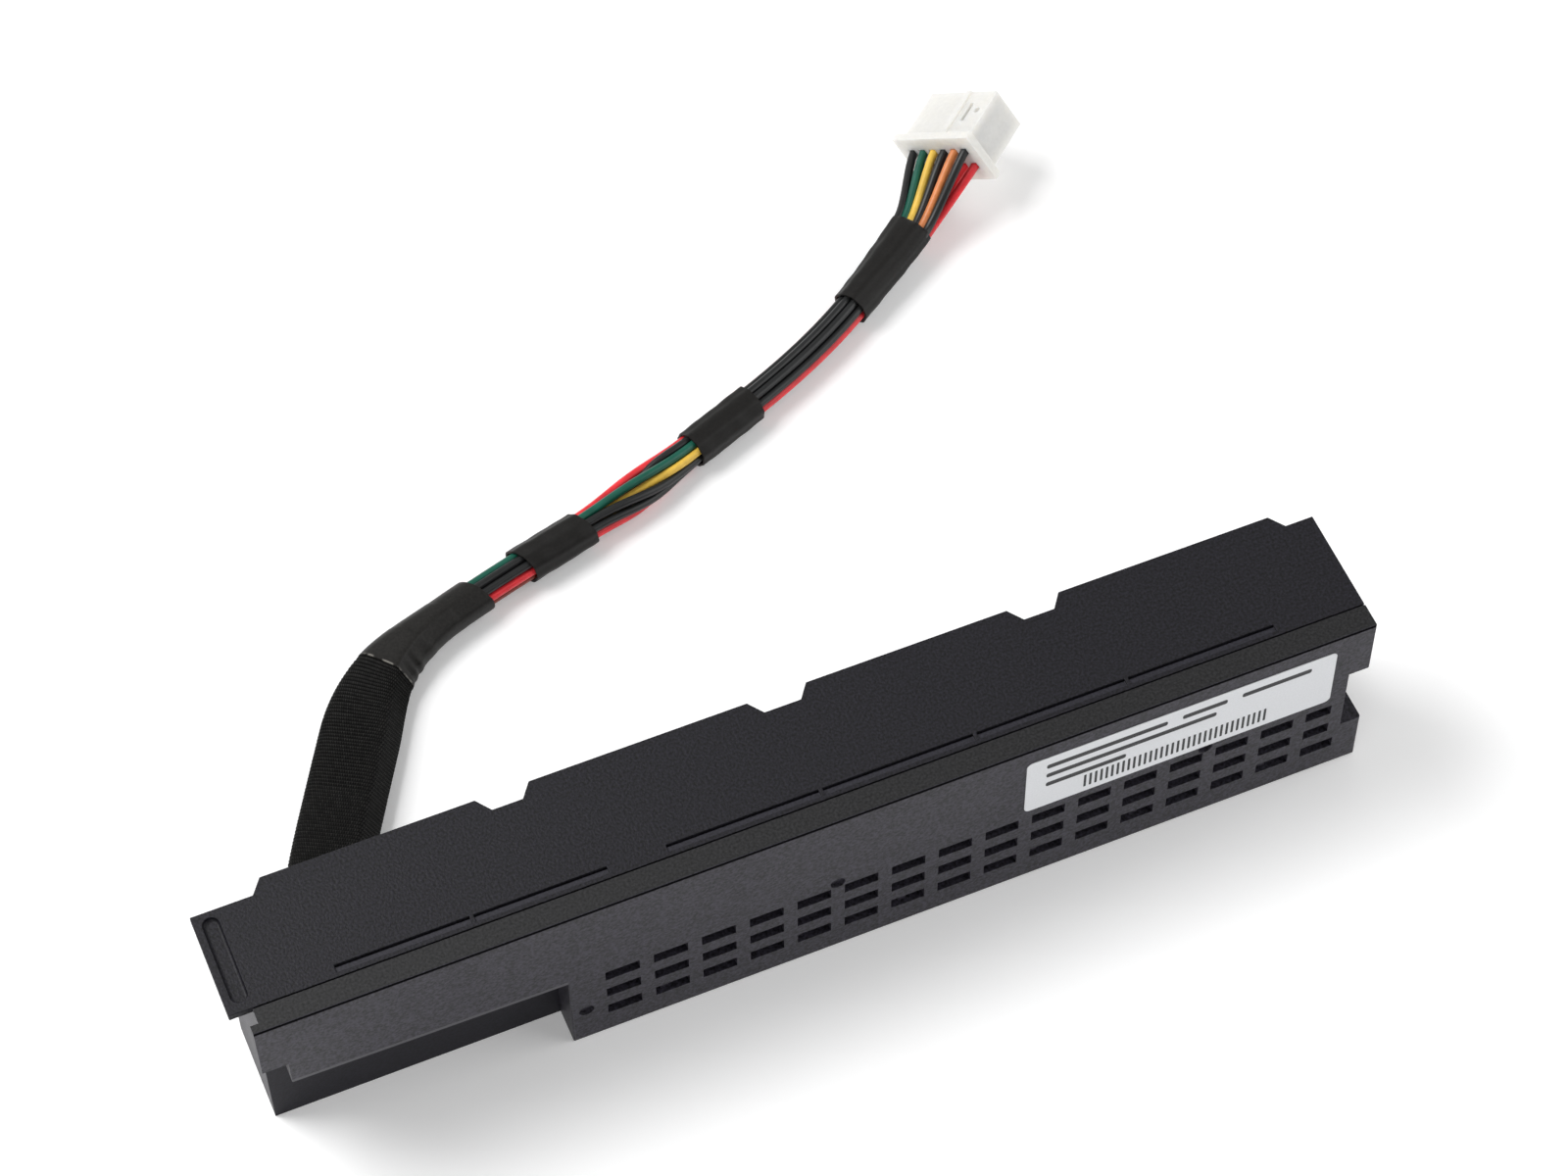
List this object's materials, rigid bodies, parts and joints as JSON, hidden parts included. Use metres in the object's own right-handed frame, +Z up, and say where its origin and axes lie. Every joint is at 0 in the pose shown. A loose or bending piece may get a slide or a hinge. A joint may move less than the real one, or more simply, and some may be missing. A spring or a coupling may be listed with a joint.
{
  "type": "raid backup hybrid capacitor",
  "caption": "Long slim moulded pack of hybrid capacitor cells with a vented front, a flush lid and a short wrapped cable to a white plug; it powers a disk controller's memory when mains fails.",
  "frame": {"origin": "on the surface that the case stands on, under the middle of the case, lid and label", "axes": "+X along the case towards the end with the groove, +Y from the vented front to the back where the cable leaves, +Z up to the lid"},
  "size_m": [0.2191, 0.1727, 0.0435],
  "materials": {
    "case_plastic": "fine moulded grain",
    "lid_plastic": "fine satin grain",
    "label_paper": "matt",
    "cell_sleeve": "shrunk film over a can",
    "spacer_plastic": "moulded",
    "foam": "soft",
    "nickel": "plated strip",
    "board_laminate": "solder mask",
    "chip_plastic": "moulded",
    "ferrite": "pressed",
    "resistor_ceramic": "matt",
    "can_aluminium": "satin",
    "wire_insulation": "extruded, several colours",
    "weave": "woven tape",
    "cloth_tape": "adhesive cloth tape",
    "shrink_tube": "shrunk",
    "nylon": "natural, moulded",
    "terminal_metal": "tin over brass"
  },
  "bodies": {
    "root": {"case_body": "case_plastic", "lid": "lid_plastic", "product_label": "label_paper", "capacitor_cell_1": "cell_sleeve", "capacitor_cell_2": "cell_sleeve", "capacitor_cell_3": "cell_sleeve", "capacitor_cell_4": "cell_sleeve", "capacitor_cell_5": "cell_sleeve", "capacitor_cell_6": "cell_sleeve", "cell_spacer_1": "spacer_plastic", "cell_spacer_2": "spacer_plastic", "cell_spacer_3": "spacer_plastic", "lid_pad": "foam", "cell_link_1": "nickel", "cell_link_2": "nickel", "negative_strip": "nickel", "positive_strip": "nickel", "control_board": "board_laminate", "board_header": "nylon", "power_inductor": "ferrite", "controller_chip": "chip_plastic", "monitor_chip": "chip_plastic", "switch_transistors": "chip_plastic", "sense_resistor": "resistor_ceramic", "bulk_capacitors": "can_aluminium", "wire_bundle": "wire_insulation", "woven_sleeve": "weave", "tape_sleeve": "cloth_tape", "heat_shrink_1": "shrink_tube", "heat_shrink_2": "shrink_tube", "heat_shrink_3": "shrink_tube", "wire_fan": "wire_insulation", "plug_housing": "nylon", "plug_terminals": "terminal_metal"}
  },
  "joints": []
}
